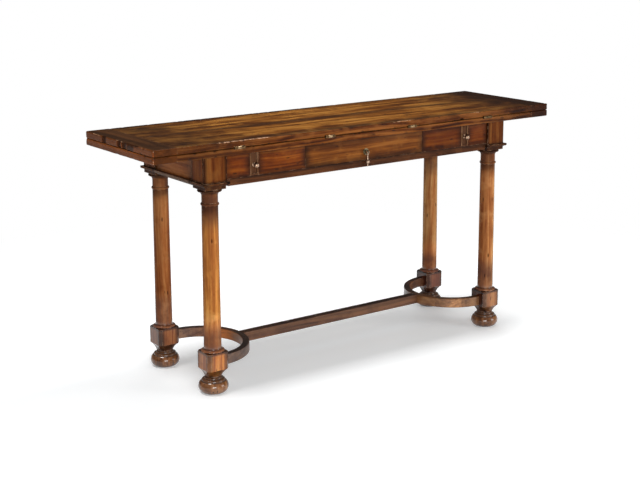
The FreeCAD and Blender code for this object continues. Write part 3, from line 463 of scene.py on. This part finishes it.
def stain_and_shade_rim(node):
    """Bands at both ends, the top and the bottom of a front piece, of stain and of painted shade."""
    low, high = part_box(node)
    return [(X, (low.x + RIM_END, low.x)), (X, (high.x - RIM_END, high.x)),
            (Z, (high.z - RIM_TOP, high.z)), (Z, (low.z + RIM_BOTTOM, low.z))]


RAIL_TONES = (paint(56, 29, 13), paint(82, 45, 22), paint(106, 63, 32))
RAIL_STAIN = 0.010
rail_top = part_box("front_bottom_rail")[1].z
under_panels = (Z, (rail_top - RAIL_STAIN, rail_top))
rail_walnut = walnut("rail_walnut", X, RAIL_TONES, shift=2.4, bands=[under_panels])
finish_nodes(rail_walnut, "apron_walnut", "back_rail", "front_bottom_rail")

END_TONES = (paint(94, 48, 20), paint(144, 80, 38), paint(174, 108, 58))
# Painted shadow of the top's overhang: the end rails are darker beside the posts and under the top.
SHADOW_BY_FRONT_POST, SHADOW_BY_BACK_POST = (Y, (-0.050, -0.104)), (Y, (0.055, 0.109))
SHADOW_UNDER_TOP = (Z, (0.696, 0.718))
end_walnut = walnut("end_walnut", Y, END_TONES, shift=4.4, bands=[SHADOW_BY_FRONT_POST, SHADOW_BY_BACK_POST, SHADOW_UNDER_TOP])
finish_nodes(end_walnut, "apron_walnut", "left_end_rail", "right_end_rail")

# The mouldings' arrises are pale, from wear and as painted highlights.
MOULDING_TONES = (paint(74, 50, 36), paint(104, 76, 58), paint(136, 106, 84))
moulding_walnut = walnut("moulding_walnut", Y, MOULDING_TONES, shift=3.7, wear_and_glint=0.8, arris_width=0.0035)
finish_nodes(moulding_walnut, "apron_walnut", "left_end_moulding", "right_end_moulding")

PANEL_TONES = (paint(74, 30, 8), paint(112, 51, 14), paint(140, 76, 27))
PANEL_SHADES = {"left_outer_panel": (1.00, 0.93, 0.60), "left_inner_panel": (1.25, 1.28, 0.85),
                "right_inner_panel": (0.80, 0.75, 0.50), "right_outer_panel": (0.90, 0.85, 0.80)}
for count, (panel, shade) in enumerate(PANEL_SHADES.items()):
    tones = [tuple(c * part for c, part in zip(tone, shade)) + (1.0,) for tone in PANEL_TONES]
    panel_walnut = walnut(panel + "_walnut", X, tones, shift=2.4 + 0.7 * count, bands=stain_and_shade_rim(panel))
    show(panel + "_front", eased_front(panel), panel_walnut, "frame", "apron_walnut", panel)

# Lopers
# Pull-out bars of plain maple in housings behind the apron, each with a walnut face and a turned brass
# knob. A bead runs down both sides of the face and is pale, from wear and from painted highlights. A
# maple peg in slots of the housing stops the bar.

MAPLE_TONES = (paint(150, 108, 66), paint(176, 132, 86), paint(196, 154, 106))
maple = walnut("inner_maple", Y, MAPLE_TONES, shift=6.6, wear_and_glint=0.2, gloss=0.5, spots=0.02)
TARNISH_WAVES = (160, 160, 160)
SKIN_WAVES = (900, 900, 900)
SKIN_RELIEF = 0.00008


def old_metal(name, bright, dull, gloss, tarnish=()):
    """Cast metal, bright and dull in clouds, with a fine skin. tarnish are (colour, band) pairs."""
    metal = Finish(name)
    cloud = metal.noise(metal.stretched(metal.coords, TARNISH_WAVES), 3.0, 0.6)
    skin = metal.noise(metal.stretched(metal.coords, SKIN_WAVES), 2.0)
    colour = metal.tones(cloud, ((0.35, dull), (0.65, bright)))
    for tint, band in tarnish:
        colour = metal.mix(metal.band(*band), colour, tint, "MULTIPLY")
    roughness = metal.math("MULTIPLY_ADD", skin, 0.2, gloss)
    return metal.surface(colour, roughness, skin, SKIN_RELIEF, metallic=1.0)


brass = old_metal("knob_brass", paint(188, 158, 134), paint(132, 104, 82), 0.24)
LOPER_TONES = (paint(84, 52, 30), paint(108, 73, 46), paint(134, 97, 66))
LOPER_STAIN = paint(70, 36, 16)
FIELD_HALF = 0.0105
FIELD_FADE = 0.001
for end in ("left", "right"):
    face_low, face_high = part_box(f"{end}_loper_face")
    middle = (face_low.x + face_high.x) / 2
    field_left, field_right = middle - FIELD_HALF, middle + FIELD_HALF
    field = (X, (field_left - FIELD_FADE, field_left), (field_right + FIELD_FADE, field_right))
    loper_walnut = walnut(f"{end}_loper_walnut", Z, LOPER_TONES, shift=7.9, wear_and_glint=0.7, stain=LOPER_STAIN,
                          bands=[field])
    finish_nodes(loper_walnut, "apron_walnut", f"{end}_loper_face")
    finish_nodes(maple, "inner_maple", f"{end}_loper_housing", f"{end}_loper_bar", f"{end}_loper_stop_peg")
    finish_nodes(brass, "antique_brass", f"{end}_loper_knob")

# Drawer
# A walnut front with half-blind dovetails, maple sides, back and bottom, sliding on two maple runners.
# Its front is a little more golden than the panels beside it.

DRAWER_TONES = (paint(88, 44, 13), paint(132, 74, 25), paint(160, 99, 42))
drawer_walnut = walnut("drawer_walnut", X, DRAWER_TONES, shift=9.3, bands=stain_and_shade_rim("drawer_front"))
show("drawer_face", eased_front("drawer_front"), drawer_walnut, "drawer", "apron_walnut", "drawer_front")
finish_nodes(maple, "inner_maple", "drawer_left_side", "drawer_right_side", "drawer_back", "drawer_bottom",
             "left_drawer_runner", "right_drawer_runner")

# Drop pull
# A cast bronze rose with an eyed bolt through the drawer front, and a turned brass drop in its eye.
# A steel nut behind the front holds the bolt and the rose.

bronze = old_metal("rose_bronze", paint(134, 118, 90), paint(56, 48, 32), 0.26)
steel = old_metal("screw_steel", paint(150, 148, 144), paint(96, 92, 88), 0.35)
drop_brass = old_metal("drop_brass", paint(202, 174, 150), paint(124, 100, 82), 0.26)
finish_nodes(bronze, "dark_bronze", "pull_plate", "pull_bolt")
finish_nodes(drop_brass, "antique_brass", "pull_drop")
finish_nodes(steel, "screw_steel", "pull_nut")

# Leaves of the top
# Two equal leaves lie on one another, each of two walnut boards and two cleated ends tongued onto them.
# The arrises were knocked and scraped before staining, so they wander, and the scoops hold dark stain. Pale
# runs along some arrises are wear and painted highlight, and the end faces of the cleats are painted much
# lighter, as light falling on them.

ROUND = 0.003
ROUND_ROOM = 1.5 * ROUND
SEAM_VEE = 0.0007
CELL = 0.003
WEAR_REACH = 0.009


def blank_board(low, high, along, worn_sides):
    """Box cut into short lengths along its grain, with cuts beside its worn sides, as (axis, side)."""
    bm = bmesh.new()
    size = high - low
    place = Matrix.Translation((low + high) / 2) @ Matrix.Diagonal((*size, 1.0))
    bmesh.ops.create_cube(bm, size=1.0, matrix=place)
    lengthwise = [e for e in bm.edges
                  if abs(e.verts[0].co[along] - e.verts[1].co[along]) > size[along] / 2]
    cuts = round(size[along] / CELL) - 1
    bmesh.ops.subdivide_edges(bm, edges=lengthwise, cuts=cuts, use_grid_fill=True)
    for axis, side in worn_sides:
        for inset in (ROUND_ROOM, WEAR_REACH):
            normal = Vector((0, 0, 0))
            normal[axis] = 1
            at = low[axis] + inset if side == LOW else high[axis] - inset
            bmesh.ops.bisect_plane(bm, geom=bm.verts[:] + bm.edges[:] + bm.faces[:], dist=1e-7,
                                   plane_co=normal * at, plane_no=normal)
    return bm


def depth_below(vert, low, high, face):
    """How far a vertex lies inside a face of the box, given as (axis, side)."""
    axis, side = face
    return abs(vert.co[axis] - (high if side == HIGH else low)[axis])


def bevel_arrises(bm, low, high, arrises, width, segments):
    """Rounds arrises of the box, each named by its two faces."""
    edges = [e for e in bm.edges
             if any(all(depth_below(v, low, high, face) < 1e-6 for v in e.verts for face in arris)
                    for arris in arrises)]
    bmesh.ops.bevel(bm, geom=edges, offset=width, offset_type="OFFSET", segments=segments, profile=0.5,
                    affect="EDGES", material=-1, clamp_overlap=False)


KNOCK_HALF = (0.002, 0.007)
KNOCK_DEPTH = (0.0003, 0.0014)
WANDER = 0.0003
WANDER_WAVES = 16
DARK_FROM = 0.0012
RUN_FADE = 0.02
RUN_NEAR = 0.72


def wear_arris(bm, low, high, arris, along, seed, scoops=(), runs=(), per_metre=15, worn=0.0003):
    """Pushes an arris in where it is worn: a slow wander about worn, knocks and named scoops; marks pale
    runs of wear and painted highlight.

    The arris is named by the faces that meet there, and one face alone is pushed in over its whole height.
    A scoop is (place, half length, depth) and a run (start, end, strength) along the arris, in metres."""
    nick = bm.verts.layers.float.get("nick") or bm.verts.layers.float.new("nick")
    wear_and_glint = bm.verts.layers.float.get("wear_and_glint") or bm.verts.layers.float.new("wear_and_glint")
    dice = random.Random(seed)
    knocks = list(scoops)
    for _ in range(round((high[along] - low[along]) * per_metre)):
        place = dice.uniform(low[along], high[along])
        half = dice.uniform(*KNOCK_HALF)
        knocks.append((place, half, dice.uniform(*KNOCK_DEPTH)))
    inward = Vector((0, 0, 0))
    for axis, side in arris:
        inward[axis] = -side
    inward.normalize()
    for vert in bm.verts:
        near = 1 - sum(depth_below(vert, low, high, face) for face in arris) / WEAR_REACH
        if near <= 0:
            continue
        place = vert.co[along]
        push = max(0.0, worn + WANDER * noise.noise(Vector((place * WANDER_WAVES, seed, 0.5))))
        for middle, half, deep in knocks:
            away = abs(place - middle) / half
            if away < 1:
                scoop = (1 - away * away) * deep
                push += scoop
                vert[nick] = max(vert[nick], near * min(1.0, scoop / DARK_FROM))
        for start, end, strength in runs:
            fade = min(place - start, end - place) / RUN_FADE
            if fade > 0 and near > RUN_NEAR:
                vert[wear_and_glint] = max(vert[wear_and_glint], min(1.0, fade) * strength)
        vert.co += inward * push * near


leaf_low, leaf_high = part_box("upper_leaf_left_end")
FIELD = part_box("upper_leaf_right_end")[0].x
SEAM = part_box("upper_leaf_front_board")[1].y
FRONT = leaf_low.y
BACK = leaf_high.y
FRONT_TOP, FRONT_UNDER = ((Y, LOW), (Z, HIGH)), ((Y, LOW), (Z, LOW))
BACK_TOP, BACK_UNDER = ((Y, HIGH), (Z, HIGH)), ((Y, HIGH), (Z, LOW))
BUTTED = [((X, LOW), (Z, HIGH)), ((X, HIGH), (Z, HIGH)), ((X, LOW), (Z, LOW)), ((X, HIGH), (Z, LOW))]

BOARD_TONES = (paint(64, 29, 5), paint(126, 73, 18), paint(182, 124, 54))
EDGE_TINT = (0.62, 0.48, 0.52, 1.0)
BOARD_EDGES = [(Y, LOW, EDGE_TINT), (Y, HIGH, EDGE_TINT)]
RIGHT_END = [((0.36, 0.28, 0.22, 1.0), (X, (0.54, 0.75)))]
FRONT_MARGIN, SEAM_MARGIN, BACK_MARGIN = (0.050, 0.015), (0.030, 0.004), (0.040, 0.010)
FRONT_BOARD_ENDS = [(X, (-0.30, -0.62)), (X, (0.30, 0.66))]
BACK_BOARD_ENDS = [(X, (-0.34, -0.62)), (X, (0.32, 0.66))]
front_bands = [(Y, tuple(FRONT + inset for inset in FRONT_MARGIN)),
               (Y, tuple(SEAM - inset for inset in SEAM_MARGIN))] + FRONT_BOARD_ENDS
back_bands = [(Y, tuple(BACK - inset for inset in BACK_MARGIN)),
              (Y, tuple(SEAM + inset for inset in SEAM_MARGIN))] + BACK_BOARD_ENDS
front_walnut = walnut("front_board_walnut", X, BOARD_TONES, shift=0.45, worked=True, sides=BOARD_EDGES,
                      tints=RIGHT_END, spots=0.2, bands=front_bands)
back_walnut = walnut("back_board_walnut", X, BOARD_TONES, shift=0.83, worked=True, sides=BOARD_EDGES,
                     tints=RIGHT_END, bands=back_bands)
CLEAT_TONES = (paint(48, 27, 11), paint(64, 38, 17), paint(84, 51, 25))
# Painted light: the end faces of the cleats are much lighter, as light falling on them.
END_LIGHT_TINT = (2.85, 2.10, 1.40, 1.0)
CORNER_TINT = (1.50, 1.10, 0.60, 1.0)
CLEAT_SIDES = [(X, LOW, END_LIGHT_TINT), (X, HIGH, END_LIGHT_TINT), (Y, LOW, CORNER_TINT), (Y, HIGH, CORNER_TINT)]
cleat_walnut = walnut("cleat_walnut", Y, CLEAT_TONES, shift=8.8, figure=0.7, worked=True, tints=RIGHT_END,
                      sides=CLEAT_SIDES)

HINGE_COUNT = 4
HINGE_LENGTH = 0.036
PLATE = 0.0021
BARREL_ROOM = 0.0048
SEAT_SLACK = 0.0001
plates_low, plates_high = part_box("hinge_lower_plates")
hinge_step = (plates_high.x - plates_low.x - HINGE_LENGTH) / (HINGE_COUNT - 1)
pins_low, pins_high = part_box("hinge_pins")
pin = (pins_low + pins_high) / 2


def cut_hinges(board, face):
    """Cuts the seats of the hinge plates and the notches of their barrels into a face of a board."""
    seats, notches = bmesh.new(), bmesh.new()
    for count in range(HINGE_COUNT):
        x = plates_low.x + HINGE_LENGTH / 2 + count * hinge_step
        seat_low = Vector((x - HINGE_LENGTH / 2 - SEAT_SLACK, pin.y - BARREL_ROOM, face - PLATE))
        seat_high = Vector((x + HINGE_LENGTH / 2 + SEAT_SLACK, plates_high.y + SEAT_SLACK, face + PLATE))
        size = seat_high - seat_low
        place = Matrix.Translation((seat_low + seat_high) / 2) @ Matrix.Diagonal((*size, 1.0))
        bmesh.ops.create_cube(seats, size=1.0, matrix=place)
        place = Matrix.Translation((x, pin.y, pin.z)) @ Matrix.Rotation(math.pi / 2, 4, "Y")
        bmesh.ops.create_cone(notches, cap_ends=True, segments=32, radius1=BARREL_ROOM,
                              radius2=BARREL_ROOM, depth=HINGE_LENGTH + SEAT_SLACK, matrix=place)
    for bm in (seats, notches):
        mesh = bpy.data.meshes.new("hinge_cutter")
        bm.to_mesh(mesh)
        bm.free()
        cutter = bpy.data.objects.new("hinge_cutter", mesh)
        bpy.context.collection.objects.link(cutter)
        cut = board.modifiers.new("hinge_seat", "BOOLEAN")
        cut.operation = "DIFFERENCE"
        cut.object = cutter
    graph = bpy.context.evaluated_depsgraph_get()
    board.data = bpy.data.meshes.new_from_object(board.evaluated_get(graph))
    for cut in list(board.modifiers):
        bpy.data.objects.remove(cut.object)
    board.modifiers.clear()


# Pale runs along arrises of the leaves, of worn finish and of painted highlight.
FRONT_RUNS = [(-0.56, -0.36, 0.60), (0.08, 0.19, 0.55), (0.40, 0.46, 0.40)]
EDGE_NICK = [(0.371, 0.010, 0.0040)]
GOUGES = [(0.090, 0.013, 0.0060), (-0.004, 0.010, 0.0060), (-0.036, 0.013, 0.0045),
          (-0.072, 0.030, 0.0012)]
BROKEN_ARRIS = [(-0.070, 0.060, 0.0026)]
LEFT_RUNS = [(0.11, 0.17, 0.45), (-0.05, 0.02, 0.50), (-0.18, -0.12, 0.30)]
CORNER_RUN = [(0.70, 0.78, 0.40)]
CORNER_WEAR = 0.0016
CORNER_KNOCKS = 60

for leaf, body in (("lower", "frame"), ("upper", "flip_leaf")):
    upper = leaf == "upper"
    seed = 37 if upper else 11
    bottom, top = (corner.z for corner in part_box(f"{leaf}_leaf_front_board"))

    low, high = Vector((-FIELD, FRONT, bottom)), Vector((FIELD, SEAM, top))
    bm = blank_board(low, high, X, [(Y, LOW), (Z, LOW), (Z, HIGH)])
    bevel_arrises(bm, low, high, [BACK_TOP, BACK_UNDER] + BUTTED, SEAM_VEE, 1)
    bevel_arrises(bm, low, high, [FRONT_TOP, FRONT_UNDER], ROUND, 3)
    wear_arris(bm, low, high, FRONT_TOP, X, seed, runs=FRONT_RUNS if upper else ())
    wear_arris(bm, low, high, FRONT_UNDER, X, seed + 1, scoops=EDGE_NICK if upper else ())
    board = show(f"{leaf}_front_board", bm, front_walnut, body, "top_walnut", f"{leaf}_leaf_front_board")
    cut_hinges(board, bottom if upper else top)

    low, high = Vector((-FIELD, SEAM, bottom)), Vector((FIELD, BACK, top))
    bm = blank_board(low, high, X, [(Y, HIGH), (Z, LOW), (Z, HIGH)])
    bevel_arrises(bm, low, high, [FRONT_TOP, FRONT_UNDER] + BUTTED, SEAM_VEE, 1)
    bevel_arrises(bm, low, high, [BACK_TOP, BACK_UNDER], ROUND, 3)
    wear_arris(bm, low, high, BACK_TOP, X, seed + 2)
    wear_arris(bm, low, high, BACK_UNDER, X, seed + 3)
    show(f"{leaf}_back_board", bm, back_walnut, body, "top_walnut", f"{leaf}_leaf_back_board")

    for end, side in (("left", LOW), ("right", HIGH)):
        low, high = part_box(f"{leaf}_leaf_{end}_end")
        outer = (X, side)
        outer_top, outer_under = (outer, (Z, HIGH)), (outer, (Z, LOW))
        front_corner, back_corner = (outer, (Y, LOW)), (outer, (Y, HIGH))
        bm = blank_board(low, high, Y, [outer, (Z, LOW), (Z, HIGH)])
        bevel_arrises(bm, low, high, [outer_top, outer_under, front_corner, back_corner,
                                      FRONT_TOP, FRONT_UNDER, BACK_TOP, BACK_UNDER], ROUND, 3)
        gouged = upper and side == LOW
        wear_arris(bm, low, high, outer_top, Y, seed + 4 + side, runs=LEFT_RUNS if gouged else (),
                   scoops=BROKEN_ARRIS if gouged else ())
        wear_arris(bm, low, high, outer_under, Y, seed + 7 + side)
        wear_arris(bm, low, high, front_corner, Z, seed + 10 + side,
                   runs=CORNER_RUN if side == LOW else (), per_metre=CORNER_KNOCKS, worn=CORNER_WEAR)
        wear_arris(bm, low, high, back_corner, Z, seed + 13 + side, per_metre=CORNER_KNOCKS,
                   worn=CORNER_WEAR)
        if gouged:
            wear_arris(bm, low, high, (outer,), Y, seed + 16, scoops=GOUGES, per_metre=0, worn=0.0)
        show(f"{leaf}_{end}_cleat", bm, cleat_walnut, body, "top_walnut", f"{leaf}_leaf_{end}_end")

# Hinges
# Four brass butt hinges let into the front edge: the upper plate carries the middle knuckle, the lower the
# others. The middle knuckle is rubbed pale, less so towards the right, and the rest has gone dark.

dark_brass = old_metal("dark_brass", paint(120, 92, 60), paint(64, 48, 32), 0.32)
RIGHT_TARNISH = [((0.30, 0.29, 0.25, 1.0), (X, (0.20, 0.45)))]
pale_brass = old_metal("pale_brass", paint(174, 148, 114), paint(118, 94, 66), 0.28, tarnish=RIGHT_TARNISH)
finish_nodes(dark_brass, "antique_brass", "hinge_lower_plates", "hinge_lower_screws", "hinge_upper_screws",
             "hinge_pins")
finish_nodes(pale_brass, "antique_brass", "hinge_upper_plates")

# Blocks and screws
# Maple blocks glued inside the apron, with steel screws up into the lower leaf.
# They hold the top down and show only from below.

finish_nodes(maple, "inner_maple", "top_blocks")
finish_nodes(steel, "screw_steel", "top_screws")

# Studio
# A white floor that keeps the soft shadow under the table, two softboxes overhead, two in front, and a dim
# room. A low lamp behind fills the shaded sides and gives no reflections.

FLOOR_HALF = 60.0
FLOOR_COLOUR = (0.915, 0.925, 0.93, 1.0)
LIFT_COLOUR = (0.98, 1.02, 1.04, 1)
FLOOR_LIFT = 0.23
WHITE_FROM, WHITE_AT = 1.0, 2.0
BOUNCE_COLOUR = (0.5, 0.5, 0.5, 1.0)
floor_mesh = bpy.data.meshes.new("floor")
bm = bmesh.new()
bmesh.ops.create_grid(bm, x_segments=8, y_segments=8, size=FLOOR_HALF)
bm.to_mesh(floor_mesh)
bm.free()
floor = bpy.data.objects.new("floor", floor_mesh)
bpy.context.collection.objects.link(floor)
pale = Finish("pale_floor")
distance = pale.vector("LENGTH", pale.coords)
rays = pale.node("LightPath", {}).outputs
seen = pale.math("MAXIMUM", rays["Is Camera Ray"], rays["Is Glossy Ray"])
seen = pale.math("MAXIMUM", seen, rays["Is Transmission Ray"])
lit = pale.node("BsdfDiffuse", {"Color": FLOOR_COLOUR}).outputs[0]
lift = pale.node("Emission", {"Color": LIFT_COLOUR, "Strength": FLOOR_LIFT}).outputs[0]
near = pale.node("AddShader", {0: lit, 1: lift}).outputs[0]
white = pale.node("Emission", {"Color": (1, 1, 1, 1), "Strength": 1.0}).outputs[0]
far = pale.rise(distance, WHITE_FROM, WHITE_AT)
shown = pale.node("MixShader", {0: far, 1: near, 2: white}).outputs[0]
bounce = pale.node("BsdfDiffuse", {"Color": BOUNCE_COLOUR}).outputs[0]
mixed = pale.node("MixShader", {0: seen, 1: bounce, 2: shown}).outputs[0]
pale.node("OutputMaterial", {"Surface": mixed})
floor_mesh.materials.append(pale.material)

WALL_LEVEL, CEILING_LEVEL = 0.06, 0.28
WALL_UP_TO, CEILING_FROM = 0.30, 0.90
world = bpy.data.worlds.new("dim_room")
bpy.context.scene.world = world
world.use_nodes = True
room = world.node_tree
room.nodes.clear()
direction = room.nodes.new("ShaderNodeTexCoord")
split = room.nodes.new("ShaderNodeSeparateXYZ")
room.links.new(direction.outputs["Generated"], split.inputs[0])
level = room.nodes.new("ShaderNodeMapRange")
level.interpolation_type = "SMOOTHSTEP"
level.inputs["From Min"].default_value = WALL_UP_TO
level.inputs["From Max"].default_value = CEILING_FROM
level.inputs["To Min"].default_value = WALL_LEVEL
level.inputs["To Max"].default_value = CEILING_LEVEL
room.links.new(split.outputs["Z"], level.inputs["Value"])
air = room.nodes.new("ShaderNodeBackground")
air.inputs["Color"].default_value = (1, 1, 1, 1)
room.links.new(level.outputs[0], air.inputs["Strength"])
out = room.nodes.new("ShaderNodeOutputWorld")
room.links.new(air.outputs[0], out.inputs["Surface"])

AIM = Vector((0, 0, 0.4))


def soft_light(name, place, width, height, power):
    """Rectangular softbox at place, turned towards the middle of the table."""
    light = bpy.data.lights.new(name, "AREA")
    light.shape = "RECTANGLE"
    light.size = width
    light.size_y = height
    light.energy = power
    lamp = bpy.data.objects.new(name, light)
    lamp.location = place
    lamp.rotation_euler = (AIM - Vector(place)).to_track_quat("-Z", "Y").to_euler()
    bpy.context.collection.objects.link(lamp)
    return lamp


soft_light("overhead_left", (-2.0, 0.05, 4.5), 1.0, 0.9, 94.0)
soft_light("overhead_right", (1.4, 0.05, 4.5), 1.0, 0.9, 80.0)
soft_light("front_left", (-1.9, -3.4, 1.0), 1.8, 1.4, 85.0)
soft_light("front_right", (2.4, -3.0, 1.2), 1.6, 1.4, 42.0)
back_fill = soft_light("back_fill", (2.0, 2.8, 0.45), 2.2, 0.5, 75.0)
back_fill.visible_glossy = False

CAMERA_PLACE = Vector((-2.4279, -3.3067, 1.3853))
CAMERA_YAW = 0.6238
CAMERA_PITCH = 0.1968
CAMERA_ROLL = -0.0036
CAMERA_SHIFT = -0.1
CAMERA_REACH = 200.0
FOCAL_PIXELS = 1293.4
IMAGE_WIDTH = 640
SENSOR = 36.0
lens = bpy.data.cameras.new("camera")
lens.sensor_width = SENSOR
lens.lens = FOCAL_PIXELS / IMAGE_WIDTH * SENSOR
lens.shift_y = CAMERA_SHIFT
lens.clip_end = CAMERA_REACH
camera = bpy.data.objects.new("camera", lens)
turn = Matrix.Rotation(-CAMERA_YAW, 4, "Z") @ Matrix.Rotation(math.pi / 2 - CAMERA_PITCH, 4, "X")
camera.matrix_world = Matrix.Translation(CAMERA_PLACE) @ turn @ Matrix.Rotation(CAMERA_ROLL, 4, "Z")
bpy.context.collection.objects.link(camera)
bpy.context.scene.camera = camera
bpy.context.scene.view_settings.view_transform = "Standard"
